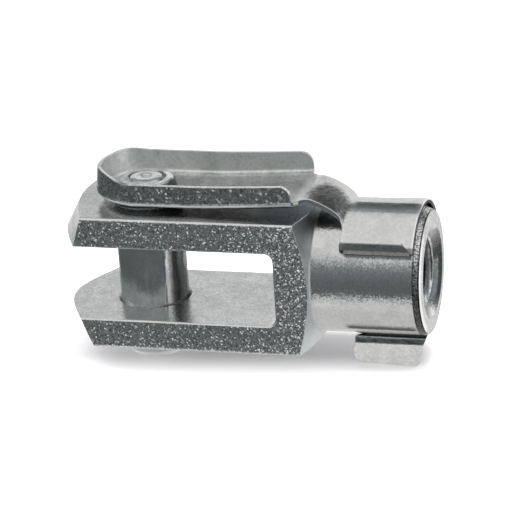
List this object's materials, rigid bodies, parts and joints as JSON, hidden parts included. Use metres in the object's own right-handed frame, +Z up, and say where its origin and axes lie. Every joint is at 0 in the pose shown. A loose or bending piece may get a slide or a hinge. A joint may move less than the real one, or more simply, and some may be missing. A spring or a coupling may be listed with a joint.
{
  "type": "clevis rod end",
  "caption": "Zinc-plated steel clevis fork with a threaded neck; a pin riveted into a folded spring clip crosses the slot, and the clip's open ring snaps round the neck.",
  "frame": {"origin": "where the pin's axis crosses the thread's axis, midway between the fork's ears", "axes": "+X along the neck towards its threaded end, +Z up the pin towards its riveted head and the clip, +Y across the slot towards the ring's closed side"},
  "size_m": [0.0434, 0.0166, 0.0238],
  "materials": {
    "zinc_steel_fork": "zinc-plated, satin with a fine grain",
    "zinc_steel_clip": "zinc-plated spring steel, semi-bright",
    "zinc_steel_pin": "zinc-plated, turned"
  },
  "bodies": {
    "fork": {"clevis_fork": "zinc_steel_fork"},
    "pin": {"clip_pin": "zinc_steel_pin"},
    "clip": {"spring_clip": "zinc_steel_clip"}
  },
  "joints": [
    {"name": "pin_withdraw", "type": "slide", "parent": "fork", "child": "pin", "axis": [0, 0, 1], "range_m": [0, 0.02], "deforming": ["spring_clip"]},
    {"name": "clip_swing", "type": "hinge", "parent": "pin", "child": "clip", "pos_m": [0, 0, 0], "axis": [0, 0, 1], "range_deg": [0, 320], "deforming": ["spring_clip"]}
  ]
}
